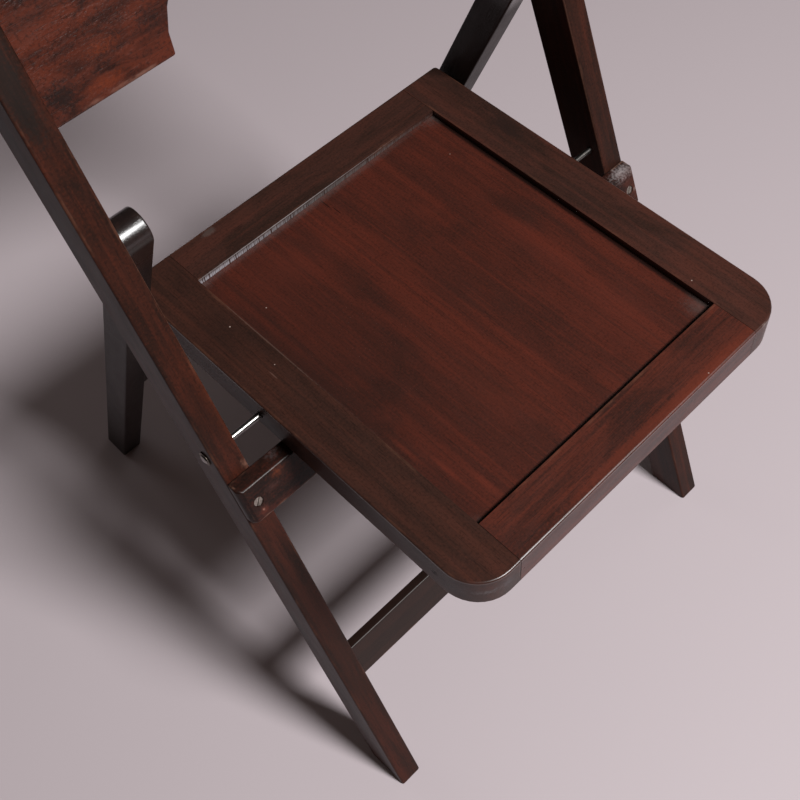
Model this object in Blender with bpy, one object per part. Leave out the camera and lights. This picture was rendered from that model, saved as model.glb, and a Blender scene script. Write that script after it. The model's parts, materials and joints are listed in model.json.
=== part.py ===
"""Wooden folding chair with a framed panel seat.

Two leaning stiles carry the seat and the back. The seat turns on a steel rod through the
stiles, and the rear legs turn on a screw in each stile. A steel peg in each side of the seat
runs in a curved groove in the rear leg beside it, so that seat and legs fold together.

Metres, +Z up, the sitter faces -Y and +X is at the sitter's left. The origin is on the floor,
under the centre of the chair's box.
"""
import math

import bmesh
import bpy
from mathutils import Vector

# Fits
FIT = 0.0003
PEG_PLAY = 0.0005
SEAT_ROD_PLAY = 0.0007
ARRIS = 0.0016
FEATHER = 0.0006
SEAT_ROUND = 0.0018
LOWER_SHARE = 0.55
CUT_PAST = 0.002

# Stiles, the two long boards from the floor to the top of the back
CHAIR_WIDTH = 0.448
STILE_THICK = 0.0222
STILE_DEPTH = 0.038
STILE_LEAN = math.radians(24.55)
STILE_LENGTH = 0.880
STILE_TOP_RADIUS = 0.013

# Seat frame and its panel
SEAT_DEPTH = 0.3755
SEAT_TOP = 0.406
SEAT_THICK = 0.030
SEAT_BEHIND_ROD = 0.1558
SIDE_RAIL_WIDTH = 0.0415
FRONT_RAIL_WIDTH = 0.0387
REAR_RAIL_WIDTH = 0.0378
FRONT_SPLAY = 0.0017
FRONT_CORNER_RADIUS = 0.032
REAR_CORNER_RADIUS = 0.0035
TENON_SHOULDER = 0.009
TENON_LENGTH = 0.020
PANEL_THICK = 0.005
PANEL_BELOW_FRAME = 0.006
PANEL_IN_GROOVE = 0.008

# Rod that the seat turns on
ROD_RADIUS = 0.0025
ROD_ABOVE_UNDERSIDE = 0.0135
ROD_BEHIND_FACE = 0.012
ROD_WASHER_RADIUS = 0.006
ROD_WASHER_THICK = 0.0008
ROD_HEAD_RADIUS = 0.0038
ROD_HEAD_HEIGHT = 0.0012

# Rear legs
LEG_ANGLE = math.radians(22.03)
LEG_WIDTH = 0.029
LEG_THICK = 0.0226
LEG_DRAW_IN = 0.0158
LEG_BESIDE_SEAT = 0.0058
LEG_TOP_ABOVE_PIVOT = 0.007
PIVOT_UP_STILE = 0.599
PIVOT_BEHIND_FACE = 0.031
PIVOT_SHANK_RADIUS = 0.003
PIVOT_HEAD_RADIUS = 0.006
PIVOT_HEAD_HEIGHT = 0.004
PIVOT_IN_STILE = 0.014
PIVOT_WASHER_RADIUS = 0.0095
PIVOT_WASHER_THICK = 0.0008

# Pegs in the seat and the grooves that guide them
PEG_RADIUS = 0.0025
PEG_ABOVE_ROD = 0.008
PEG_IN_SEAT = 0.014
PEG_OUT_OF_SEAT = 0.0085
GROOVE_DEPTH = 0.0085
SEAT_FOLD = math.radians(110.0)
LEG_FOLD = math.radians(46.3)

# Rails across the chair
HOUSING = 0.008
FRONT_STRETCHER_UP = 0.1484
FRONT_STRETCHER_HEIGHT = 0.0366
FRONT_STRETCHER_THICK = 0.0104
FRONT_STRETCHER_SET_BACK = 0.0057
REAR_STRETCHER_BELOW_PIVOT = 0.3268
REAR_STRETCHER_HEIGHT = 0.0366
REAR_STRETCHER_THICK = 0.0104
BATTEN_DEPTH = 0.0127
BATTEN_HEIGHT = 0.0322
BATTEN_CHAMFER = 0.004
BATTEN_SCREW_RADIUS = 0.002
BATTEN_SCREW_HEAD_RADIUS = 0.0038
BATTEN_SCREW_HEAD_HEIGHT = 0.0025
BATTEN_SCREW_SUNK = 0.0008
BATTEN_SCREW_IN_STILE = 0.016

# Crest panel of the back
CREST_UP = 0.690
CREST_HEIGHT = 0.150
CREST_RISE = 0.012
CREST_THICK = 0.0125
CREST_SET_BACK = 0.010
CREST_CORNER_RADIUS = 0.010
ARCH_HALF_WIDTH = 0.110
ARCH_HEIGHT = 0.0715

# Colours and finishes: base colour, roughness, metallic
FRAME_WOOD = ((0.045, 0.016, 0.009, 1.0), 0.32, 0.0)
PANEL_WOOD = ((0.075, 0.018, 0.010, 1.0), 0.26, 0.0)
CREST_WOOD = ((0.090, 0.020, 0.011, 1.0), 0.30, 0.0)
BRIGHT_STEEL = ((0.56, 0.55, 0.53, 1.0), 0.25, 1.0)
DULL_STEEL = ((0.20, 0.19, 0.18, 1.0), 0.45, 1.0)

SIDES = {"right": -1, "left": 1}

# Where the pieces meet, worked out from the sizes above
STILE_INNER = CHAIR_WIDTH / 2 - STILE_THICK
LEG_INNER_AT_PIVOT = STILE_INNER - PIVOT_WASHER_THICK - 2 * FIT - LEG_THICK
SEAT_SIDE = LEG_INNER_AT_PIVOT - LEG_BESIDE_SEAT
RAIL_INNER = SEAT_SIDE - SIDE_RAIL_WIDTH
UNDERSIDE = SEAT_TOP - SEAT_THICK


def turn(point, angle):
    """A (back, up) pair turned so that what points down swings to the front."""
    back, up = point
    return (
        back * math.cos(angle) + up * math.sin(angle),
        -back * math.sin(angle) + up * math.cos(angle),
    )


def on_stile(behind_face, along):
    """The (back, up) place of a point given behind the stile's front face and along it."""
    return turn((behind_face, along), STILE_LEAN)


def along_stile_at(height, behind_face):
    """How far along the stile a point of the given height lies."""
    return (height + behind_face * math.sin(STILE_LEAN)) / math.cos(STILE_LEAN)


ROD_HEIGHT = UNDERSIDE + ROD_ABOVE_UNDERSIDE
ROD_UP_STILE = along_stile_at(ROD_HEIGHT, ROD_BEHIND_FACE)
ROD = on_stile(ROD_BEHIND_FACE, ROD_UP_STILE)
PIVOT = on_stile(PIVOT_BEHIND_FACE, PIVOT_UP_STILE)
PEG_BELOW_PIVOT = PIVOT[1] - ROD_HEIGHT - PEG_ABOVE_ROD
PEG_FROM_ROD = (PIVOT[0] + PEG_BELOW_PIVOT * math.tan(LEG_ANGLE) - ROD[0], PEG_ABOVE_ROD)


def peg_in_leg(share):
    """The peg's (back, up) place in the leg's own frame, at a share of the full fold."""
    peg = turn(PEG_FROM_ROD, share * SEAT_FOLD)
    from_pivot = (peg[0] + ROD[0] - PIVOT[0], peg[1] + ROD[1] - PIVOT[1])
    return turn(from_pivot, LEG_ANGLE - share * LEG_FOLD)


def material(name, look):
    """A Principled material of the given colour, roughness and metallic value."""
    made = bpy.data.materials.new(name)
    made.use_nodes = True
    shader = made.node_tree.nodes["Principled BSDF"]
    shader.inputs["Base Color"].default_value = look[0]
    shader.inputs["Roughness"].default_value = look[1]
    shader.inputs["Metallic"].default_value = look[2]
    return made


def place(name, mesh, parent, look=None):
    """An object of the mesh under its parent; with no look it is a cutter."""
    piece = bpy.data.objects.new(name, mesh)
    bpy.context.scene.collection.objects.link(piece)
    piece.parent = parent
    if look is None:
        piece.hide_render = True
        piece.display_type = "WIRE"
    else:
        mesh.materials.append(material(name, look))
        mesh.shade_smooth()
        mesh.set_sharp_from_angle(angle=math.radians(35))
    return piece


def empty(name, parent, location, tilt=0.0):
    """An empty at a joint or at the foot of a leaning frame."""
    made = bpy.data.objects.new(name, None)
    bpy.context.scene.collection.objects.link(made)
    made.parent = parent
    made.location = location
    made.rotation_euler = (tilt, 0.0, 0.0)
    return made


def prism(name, outline, travel):
    """A mesh extruded from a flat outline of 3-D points along a vector."""
    mesh = bpy.data.meshes.new(name)
    shape = bmesh.new()
    face = shape.faces.new([shape.verts.new(point) for point in outline])
    grown = bmesh.ops.extrude_face_region(shape, geom=[face])["geom"]
    moved = [part for part in grown if isinstance(part, bmesh.types.BMVert)]
    bmesh.ops.translate(shape, verts=moved, vec=travel)
    bmesh.ops.recalc_face_normals(shape, faces=shape.faces)
    shape.to_mesh(mesh)
    shape.free()
    return mesh


def block(name, low, high):
    """A box mesh between two corners."""
    outline = [
        (low[0], low[1], low[2]),
        (low[0], high[1], low[2]),
        (low[0], high[1], high[2]),
        (low[0], low[1], high[2]),
    ]
    return prism(name, outline, (high[0] - low[0], 0.0, 0.0))


def turned(name, profile, steps=24):
    """A mesh spun about the X axis from (x, radius) points that start and end on it."""
    mesh = bpy.data.meshes.new(name)
    shape = bmesh.new()
    points = [shape.verts.new((x, 0.0, radius)) for x, radius in profile]
    edges = [shape.edges.new(pair) for pair in zip(points, points[1:])]
    bmesh.ops.spin(
        shape, geom=points + edges, axis=(1, 0, 0), cent=(0, 0, 0), angle=math.tau, steps=steps
    )
    bmesh.ops.remove_doubles(shape, verts=shape.verts, dist=0.00001)
    bmesh.ops.recalc_face_normals(shape, faces=shape.faces)
    shape.to_mesh(mesh)
    shape.free()
    return mesh


def ring(name, hole, radius, x, thick, steps=24):
    """A flat washer about the X axis."""
    mesh = bpy.data.meshes.new(name)
    shape = bmesh.new()
    corners = [(x, hole), (x, radius), (x + thick, radius), (x + thick, hole)]
    points = [shape.verts.new((across, 0.0, out)) for across, out in corners]
    edges = [shape.edges.new(pair) for pair in zip(points, points[1:] + points[:1])]
    bmesh.ops.spin(
        shape, geom=points + edges, axis=(1, 0, 0), cent=(0, 0, 0), angle=math.tau, steps=steps
    )
    bmesh.ops.remove_doubles(shape, verts=shape.verts, dist=0.00001)
    bmesh.ops.recalc_face_normals(shape, faces=shape.faces)
    shape.to_mesh(mesh)
    shape.free()
    return mesh


def arc(centre, radius, start, stop, steps):
    """Points of a flat arc, its angles counted from the first axis towards the second."""
    angles = [start + (stop - start) * step / steps for step in range(steps + 1)]
    return [
        (centre[0] + radius * math.cos(angle), centre[1] + radius * math.sin(angle))
        for angle in angles
    ]


def ease(piece, width=ARRIS):
    """Rounded arrises on a piece."""
    bevel = piece.modifiers.new("arris", "BEVEL")
    bevel.width = width
    bevel.segments = 2
    bevel.limit_method = "ANGLE"
    bevel.angle_limit = math.radians(50)


def round_outer(piece, top, outer):
    """Rounded arrises on the level outer edges of a piece of the seat's frame."""
    mesh = piece.data
    weights = mesh.attributes.new("bevel_weight_edge", "FLOAT", "EDGE")
    for edge in mesh.edges:
        ends = [mesh.vertices[index].co for index in edge.vertices]
        if abs(ends[0].z - ends[1].z) < FIT and outer(ends):
            weights.data[edge.index].value = 1.0 if ends[0].z > top - FIT else LOWER_SHARE
    bevel = piece.modifiers.new("arris", "BEVEL")
    bevel.width = SEAT_ROUND
    bevel.segments = 3
    bevel.limit_method = "WEIGHT"


def cut(piece, cutter):
    """The cutter's shape taken out of a piece."""
    boolean = piece.modifiers.new(cutter.name, "BOOLEAN")
    boolean.operation = "DIFFERENCE"
    boolean.solver = "EXACT"
    boolean.object = cutter


def bore(name, parent, centre, radius, start, stop):
    """A round cutter along X, centred on a (back, up) point."""
    low, high = min(start, stop), max(start, stop)
    mesh = turned(name, [(low, 0.0), (low, radius), (high, radius), (high, 0.0)])
    cutter = place(name, mesh, parent)
    cutter.location = (0.0, centre[0], centre[1])
    return cutter


def build_stiles(frame):
    """The two stiles, cut level at the floor and rounded at the top."""
    lean_rise = STILE_DEPTH * math.tan(STILE_LEAN)
    radius = STILE_TOP_RADIUS
    top = STILE_LENGTH - radius
    outline = [(0.0, 0.0), (STILE_DEPTH, lean_rise)]
    outline += arc((STILE_DEPTH - radius, top), radius, 0.0, math.pi / 2, 5)
    outline += arc((radius, top), radius, math.pi / 2, math.pi, 5)
    stiles = {}
    for side, sign in SIDES.items():
        name = "stile_" + side
        points = [(sign * STILE_INNER, back, up) for back, up in outline]
        mesh = prism(name, points, (sign * STILE_THICK, 0.0, 0.0))
        stiles[sign] = place(name, mesh, frame, FRAME_WOOD)
        ease(stiles[sign], FEATHER * 3)
    return stiles


def build_front_stretcher(frame, stiles):
    """The thin board between the stiles, housed in both of them."""
    reach = STILE_INNER + HOUSING
    low = (-reach, FRONT_STRETCHER_SET_BACK, FRONT_STRETCHER_UP)
    high = (
        reach,
        FRONT_STRETCHER_SET_BACK + FRONT_STRETCHER_THICK,
        FRONT_STRETCHER_UP + FRONT_STRETCHER_HEIGHT,
    )
    stretcher = place(
        "front_stretcher", block("front_stretcher", low, high), frame, FRAME_WOOD
    )
    ease(stretcher)
    house(stiles, frame, "front_stretcher_housing", low, high)


def house(carriers, parent, name, low, high):
    """Blind housings in the carriers for a board that ends inside them."""
    larger_low = [value - FIT for value in low]
    larger_high = [value + FIT for value in high]
    cutter = place(name, block(name, larger_low, larger_high), parent)
    for carrier in carriers.values():
        cut(carrier, cutter)


def build_batten(frame, stiles):
    """The batten across the stiles' front faces, level on top, where the seat rests."""
    face = -FIT - BATTEN_DEPTH
    top = UNDERSIDE - FIT
    high_front = along_stile_at(top, face)
    bottom = high_front - BATTEN_HEIGHT
    half = CHAIR_WIDTH / 2
    outline = [
        (-half, face, bottom),
        (-half, -FIT, bottom),
        (-half, -FIT, along_stile_at(top, -FIT)),
        (-half, face, high_front),
    ]
    mesh = prism("seat_batten", outline, (CHAIR_WIDTH, 0.0, 0.0))
    chamfer_ends(mesh, face, BATTEN_CHAMFER)
    batten = place("seat_batten", mesh, frame, FRAME_WOOD)
    ease(batten)
    middle = bottom + BATTEN_HEIGHT / 2
    for side, sign in SIDES.items():
        across = sign * (STILE_INNER + STILE_THICK / 2)
        build_batten_screw(frame, side, (across, face + BATTEN_SCREW_SUNK, middle), batten, stiles[sign])


def chamfer_ends(mesh, face, width):
    """The two upright edges of the batten's front, at its ends, cut away."""
    shape = bmesh.new()
    shape.from_mesh(mesh)
    ends = [
        edge
        for edge in shape.edges
        if all(abs(vert.co.y - face) < FIT / 2 for vert in edge.verts)
        and abs(edge.verts[0].co.x - edge.verts[1].co.x) < FIT
    ]
    bmesh.ops.bevel(shape, geom=ends, offset=width, segments=1, affect="EDGES")
    shape.to_mesh(mesh)
    shape.free()


def build_batten_screw(frame, side, head, batten, stile):
    """One countersunk screw through the batten into the stile behind it."""
    length = BATTEN_DEPTH - BATTEN_SCREW_SUNK + BATTEN_SCREW_IN_STILE
    name = "batten_screw_" + side
    profile = [
        (0.0, 0.0),
        (0.0, BATTEN_SCREW_HEAD_RADIUS),
        (BATTEN_SCREW_HEAD_HEIGHT, BATTEN_SCREW_RADIUS),
        (length, BATTEN_SCREW_RADIUS),
        (length + BATTEN_SCREW_RADIUS, 0.0),
    ]
    quarter = math.pi / 2
    screw = place(name, turned(name, profile, 16), frame, DULL_STEEL)
    screw.location = head
    screw.rotation_euler = (0.0, 0.0, quarter)
    loose = [
        (-CUT_PAST - BATTEN_SCREW_SUNK, 0.0),
        (-CUT_PAST - BATTEN_SCREW_SUNK, BATTEN_SCREW_HEAD_RADIUS + FIT),
        (FIT, BATTEN_SCREW_HEAD_RADIUS + FIT),
        (BATTEN_SCREW_HEAD_HEIGHT + FIT, BATTEN_SCREW_RADIUS + FIT),
        (length + FIT, BATTEN_SCREW_RADIUS + FIT),
        (length + BATTEN_SCREW_RADIUS + 2 * FIT, 0.0),
    ]
    cutter = place(name + "_hole", turned(name + "_hole", loose, 16), frame)
    cutter.location = head
    cutter.rotation_euler = (0.0, 0.0, quarter)
    cut(batten, cutter)
    cut(stile, cutter)


def build_crest(frame, stiles):
    """The broad board of the back, with an arched hand hole in its lower edge."""
    reach = STILE_INNER + HOUSING
    high = CREST_UP + CREST_HEIGHT
    arch_steps = 16
    arch = [
        (
            ARCH_HALF_WIDTH * math.cos(math.pi * step / arch_steps),
            CREST_UP + ARCH_HEIGHT * math.sin(math.pi * step / arch_steps),
        )
        for step in range(arch_steps + 1)
    ]
    rise_steps = 12
    crown = []
    for step in range(rise_steps + 1):
        across = -STILE_INNER + 2 * STILE_INNER * step / rise_steps
        share = across / STILE_INNER
        crown.append((across, high + CREST_RISE * (1 - share * share)))
    outline = [(-reach, high), (-reach, CREST_UP)]
    outline += reversed(arch)
    outline += [(reach, CREST_UP), (reach, high)]
    outline += reversed(crown)
    points = [(across, CREST_SET_BACK, up) for across, up in outline]
    mesh = prism("crest_panel", points, (0.0, CREST_THICK, 0.0))
    crest = place("crest_panel", mesh, frame, CREST_WOOD)
    ease(crest)
    low_corner = (-reach, CREST_SET_BACK, CREST_UP)
    high_corner = (reach, CREST_SET_BACK + CREST_THICK, high)
    house(stiles, frame, "crest_housing", low_corner, high_corner)


def build_rod(frame, stiles):
    """The steel rod that the seat turns on, riveted over a washer at each end."""
    centre = (ROD_BEHIND_FACE, ROD_UP_STILE)
    seat = CHAIR_WIDTH / 2 + FIT
    washer_face = seat + ROD_WASHER_THICK + FIT
    profile = [
        (-washer_face - ROD_HEAD_HEIGHT, 0.0),
        (-washer_face - ROD_HEAD_HEIGHT, ROD_HEAD_RADIUS / 2),
        (-washer_face - ROD_HEAD_HEIGHT / 2, ROD_HEAD_RADIUS * 0.9),
        (-washer_face, ROD_HEAD_RADIUS),
        (-washer_face, ROD_RADIUS),
    ]
    profile += [(-x, radius) for x, radius in reversed(profile)]
    rod = place("seat_rod", turned("seat_rod", profile), frame, BRIGHT_STEEL)
    rod.location = (0.0, centre[0], centre[1])
    hole = bore(
        "rod_hole", frame, centre, ROD_RADIUS + FIT, -CHAIR_WIDTH / 2 - CUT_PAST, CHAIR_WIDTH / 2 + CUT_PAST
    )
    for side, sign in SIDES.items():
        cut(stiles[sign], hole)
        name = "rod_washer_" + side
        mesh = ring(name, ROD_RADIUS + FIT, ROD_WASHER_RADIUS, sign * seat, sign * ROD_WASHER_THICK)
        washer = place(name, mesh, frame, DULL_STEEL)
        washer.location = (0.0, centre[0], centre[1])


def build_seat(seat_hinge):
    """The seat: a joined frame round a sunk panel, about the rod's axis."""
    rear = SEAT_BEHIND_ROD
    front = rear - SEAT_DEPTH
    top = SEAT_TOP - ROD_HEIGHT
    under = UNDERSIDE - ROD_HEIGHT
    side_rails = {}
    for side, sign in SIDES.items():
        side_rails[sign] = build_side_rail(seat_hinge, side, sign, front, rear, under)
    rails = list(side_rails.values())
    for name, outer, inner in (
        ("seat_front_rail", front, front + FRONT_RAIL_WIDTH),
        ("seat_rear_rail", rear, rear - REAR_RAIL_WIDTH),
    ):
        rails.append(build_cross_rail(seat_hinge, name, outer, inner, under, side_rails))
    build_panel(seat_hinge, front, rear, top, rails)
    build_seat_holes(seat_hinge, side_rails)


def build_side_rail(seat_hinge, side, sign, front, rear, under):
    """One side of the seat's frame, rounded at its outer corners."""
    name = "seat_side_rail_" + side
    large = FRONT_CORNER_RADIUS
    small = REAR_CORNER_RADIUS
    outline = [(RAIL_INNER, front), (RAIL_INNER, rear)]
    outline += arc((SEAT_SIDE - small, rear - small), small, math.pi / 2, 0.0, 4)
    outline += arc((SEAT_SIDE - large, front + large), large, 0.0, -math.pi / 2, 10)
    points = [(sign * across, back, under) for across, back in outline]
    mesh = prism(name, points, (0.0, 0.0, SEAT_THICK))
    splay_front(mesh, front, front + large, under)
    rail = place(name, mesh, seat_hinge, FRAME_WOOD)
    past_inside = RAIL_INNER + FIT
    round_outer(
        rail, under + SEAT_THICK, lambda ends: max(abs(end.x) for end in ends) > past_inside
    )
    return rail


def splay_front(mesh, front, back, under):
    """The seat's front face leans out at its foot, less and less round the corner."""
    for vert in mesh.vertices:
        if vert.co.z < under + FIT:
            share = (back - vert.co.y) / (back - front)
            vert.co.y -= FRONT_SPLAY * max(0.0, share)


def build_cross_rail(seat_hinge, name, outer, inner, under, side_rails):
    """The front or rear of the seat's frame, tenoned into both side rails."""
    shoulder = RAIL_INNER - FIT
    low_back, high_back = min(outer, inner), max(outer, inner)
    mesh = block(name, (-shoulder, low_back, under), (shoulder, high_back, under + SEAT_THICK))
    shape = bmesh.new()
    shape.from_mesh(mesh)
    ends = [face for face in shape.faces if abs(face.normal.x) > 0.9]
    bmesh.ops.inset_individual(shape, faces=ends, thickness=TENON_SHOULDER, use_even_offset=True)
    for face in bmesh.ops.extrude_discrete_faces(shape, faces=ends)["faces"]:
        outward = math.copysign(TENON_LENGTH, face.normal.x)
        bmesh.ops.translate(shape, verts=face.verts, vec=(outward, 0.0, 0.0))
    bmesh.ops.recalc_face_normals(shape, faces=shape.faces)
    shape.to_mesh(mesh)
    shape.free()
    if outer < inner:
        splay_front(mesh, outer, inner, under)
    rail = place(name, mesh, seat_hinge, FRAME_WOOD)
    near_outer = FRONT_SPLAY + FIT
    round_outer(
        rail, under + SEAT_THICK, lambda ends: max(abs(end.y - outer) for end in ends) < near_outer
    )
    reach = shoulder + TENON_LENGTH
    low = (-reach, low_back + TENON_SHOULDER, under + TENON_SHOULDER)
    high = (reach, high_back - TENON_SHOULDER, under + SEAT_THICK - TENON_SHOULDER)
    house(side_rails, seat_hinge, name + "_mortise", low, high)
    return rail


def build_panel(seat_hinge, front, rear, top, rails):
    """The thin panel, its edges in a groove round the inside of the seat's frame."""
    in_groove = PANEL_IN_GROOVE - FIT
    high_face = top - PANEL_BELOW_FRAME
    low = (
        -RAIL_INNER - in_groove,
        front + FRONT_RAIL_WIDTH - in_groove,
        high_face - PANEL_THICK,
    )
    high = (RAIL_INNER + in_groove, rear - REAR_RAIL_WIDTH + in_groove, high_face)
    place("seat_panel", block("seat_panel", low, high), seat_hinge, PANEL_WOOD)
    house(dict(enumerate(rails)), seat_hinge, "panel_groove", low, high)


def build_seat_holes(seat_hinge, side_rails):
    """The rod's holes through the side rails, and the pegs with their holes."""
    rod_hole = bore(
        "seat_rod_hole",
        seat_hinge,
        (0.0, 0.0),
        ROD_RADIUS + SEAT_ROD_PLAY,
        -SEAT_SIDE - CUT_PAST,
        SEAT_SIDE + CUT_PAST,
    )
    for side, sign in SIDES.items():
        cut(side_rails[sign], rod_hole)
        name = "guide_peg_" + side
        inside = sign * (SEAT_SIDE - PEG_IN_SEAT)
        outside = sign * (SEAT_SIDE + PEG_OUT_OF_SEAT)
        round_off = sign * FEATHER
        profile = [
            (inside, 0.0),
            (inside, PEG_RADIUS),
            (outside - round_off, PEG_RADIUS),
            (outside, PEG_RADIUS - FEATHER),
            (outside, 0.0),
        ]
        peg = place(name, turned(name, profile, 20), seat_hinge, BRIGHT_STEEL)
        peg.location = (0.0, PEG_FROM_ROD[0], PEG_FROM_ROD[1])
        hole = bore(
            name + "_hole",
            seat_hinge,
            PEG_FROM_ROD,
            PEG_RADIUS + FIT,
            inside - sign * FIT,
            sign * (SEAT_SIDE + CUT_PAST),
        )
        cut(side_rails[sign], hole)


def draw_in(mesh, sign):
    """The rear legs stand closer together at the floor than at their pivots."""
    for vert in mesh.vertices:
        vert.co.x += sign * LEG_DRAW_IN * vert.co.z


def groove_outline():
    """The groove that the peg runs through: its path with a clearance on every side."""
    steps = 14
    path = [peg_in_leg(step / steps) for step in range(steps + 1)]
    half = PEG_RADIUS + PEG_PLAY
    headings = []
    for index in range(steps + 1):
        before = path[max(index - 1, 0)]
        after = path[min(index + 1, steps)]
        headings.append(math.atan2(after[1] - before[1], after[0] - before[0]))
    quarter = math.pi / 2
    outline = []
    for point, heading in zip(path, headings):
        outline += arc(point, half, heading + quarter, heading + quarter, 1)[:1]
    outline += arc(path[-1], half, headings[-1] + quarter, headings[-1] - quarter, 8)[1:-1]
    for point, heading in zip(reversed(path), reversed(headings)):
        outline += arc(point, half, heading - quarter, heading - quarter, 1)[:1]
    outline += arc(path[0], half, headings[0] - quarter, headings[0] - 3 * quarter, 8)[1:-1]
    return outline


def build_legs(leg_hinge, frame, stiles):
    """The two rear legs about their pivots, with the grooves for the seat's pegs."""
    legs = {}
    half = LEG_WIDTH / 2
    feet = [
        (back, -(PIVOT[1] + back * math.sin(LEG_ANGLE)) / math.cos(LEG_ANGLE))
        for back in (-half, half)
    ]
    outline = feet + arc((0.0, LEG_TOP_ABOVE_PIVOT), half, 0.0, math.pi, 12)
    for side, sign in SIDES.items():
        name = "rear_leg_" + side
        points = [(sign * LEG_INNER_AT_PIVOT, back, up) for back, up in outline]
        mesh = prism(name, points, (sign * LEG_THICK, 0.0, 0.0))
        draw_in(mesh, sign)
        legs[sign] = place(name, mesh, leg_hinge, FRAME_WOOD)
        ease(legs[sign])
        groove_name = "peg_groove_" + side
        start = LEG_INNER_AT_PIVOT - CUT_PAST
        points = [(sign * start, back, up) for back, up in groove_outline()]
        mesh = prism(groove_name, points, (sign * (CUT_PAST + GROOVE_DEPTH), 0.0, 0.0))
        draw_in(mesh, sign)
        cut(legs[sign], place(groove_name, mesh, leg_hinge))
        build_pivot_screw(frame, side, sign, legs[sign], stiles[sign], leg_hinge)
    build_rear_stretcher(leg_hinge, legs)


def build_pivot_screw(frame, side, sign, leg, stile, leg_hinge):
    """A screw through the leg into the stile, its head flush, and the washer between."""
    name = "leg_pivot_screw_" + side
    centre = (PIVOT_BEHIND_FACE, PIVOT_UP_STILE)
    head = LEG_INNER_AT_PIVOT + FIT
    stop = STILE_INNER + PIVOT_IN_STILE
    profile = [
        (sign * head, 0.0),
        (sign * head, PIVOT_HEAD_RADIUS),
        (sign * (head + PIVOT_HEAD_HEIGHT), PIVOT_SHANK_RADIUS),
        (sign * stop, PIVOT_SHANK_RADIUS),
        (sign * (stop + PIVOT_SHANK_RADIUS / 2), 0.0),
    ]
    screw = place(name, turned(name, profile, 20), frame, DULL_STEEL)
    screw.location = (0.0, centre[0], centre[1])
    loose = [
        (sign * (head - CUT_PAST), 0.0),
        (sign * (head - CUT_PAST), PIVOT_HEAD_RADIUS + FIT),
        (sign * (head + FIT), PIVOT_HEAD_RADIUS + FIT),
        (sign * (head + PIVOT_HEAD_HEIGHT + FIT), PIVOT_SHANK_RADIUS + FIT),
        (sign * (stop + FIT), PIVOT_SHANK_RADIUS + FIT),
        (sign * (stop + PIVOT_SHANK_RADIUS / 2 + 2 * FIT), 0.0),
    ]
    hole_in_stile = place(name + "_hole", turned(name + "_hole", loose, 20), frame)
    hole_in_stile.location = screw.location
    cut(stile, hole_in_stile)
    hole_in_leg = place(name + "_bore", turned(name + "_bore", loose, 20), leg_hinge)
    cut(leg, hole_in_leg)
    gap = STILE_INNER - LEG_INNER_AT_PIVOT - LEG_THICK
    washer_name = "leg_pivot_washer_" + side
    start = LEG_INNER_AT_PIVOT + LEG_THICK + (gap - PIVOT_WASHER_THICK) / 2
    mesh = ring(
        washer_name, PIVOT_SHANK_RADIUS + FIT, PIVOT_WASHER_RADIUS, sign * start, sign * PIVOT_WASHER_THICK
    )
    washer = place(washer_name, mesh, frame, DULL_STEEL)
    washer.location = screw.location


def build_rear_stretcher(leg_hinge, legs):
    """The board between the rear legs, housed in both of them."""
    high_up = -REAR_STRETCHER_BELOW_PIVOT
    low_up = high_up - REAR_STRETCHER_HEIGHT
    half = REAR_STRETCHER_THICK / 2
    leg_inner = LEG_INNER_AT_PIVOT + LEG_DRAW_IN * (high_up + low_up) / 2
    reach = leg_inner + HOUSING
    low = (-reach, -half, low_up)
    high = (reach, half, high_up)
    stretcher = place("rear_stretcher", block("rear_stretcher", low, high), leg_hinge, FRAME_WOOD)
    ease(stretcher)
    house(legs, leg_hinge, "rear_stretcher_housing", low, high)


def centre_on_floor(chair):
    """The chair moved along Y until its box is centred over the origin."""
    bpy.context.view_layer.update()
    graph = bpy.context.evaluated_depsgraph_get()
    backs = []
    for piece in bpy.context.scene.objects:
        if piece.type == "MESH" and not piece.hide_render:
            shown = piece.evaluated_get(graph)
            backs += [(shown.matrix_world @ Vector(corner)).y for corner in shown.bound_box]
    chair.location.y = -(min(backs) + max(backs)) / 2
    bpy.context.view_layer.update()


def build():
    """The whole chair, open for use."""
    for old in list(bpy.data.objects):
        bpy.data.objects.remove(old, do_unlink=True)
    chair = empty("chair", None, (0.0, 0.0, 0.0))
    frame = empty("stile_frame", chair, (0.0, 0.0, 0.0), -STILE_LEAN)
    seat_hinge = empty("seat_hinge", chair, (0.0, ROD[0], ROD[1]))
    leg_hinge = empty("leg_hinge", chair, (0.0, PIVOT[0], PIVOT[1]), LEG_ANGLE)
    stiles = build_stiles(frame)
    build_front_stretcher(frame, stiles)
    build_batten(frame, stiles)
    build_crest(frame, stiles)
    build_rod(frame, stiles)
    build_seat(seat_hinge)
    build_legs(leg_hinge, frame, stiles)
    centre_on_floor(chair)


build()
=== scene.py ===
import json
import math

import bmesh
import bpy
import numpy as np
from mathutils import Matrix, Vector


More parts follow.
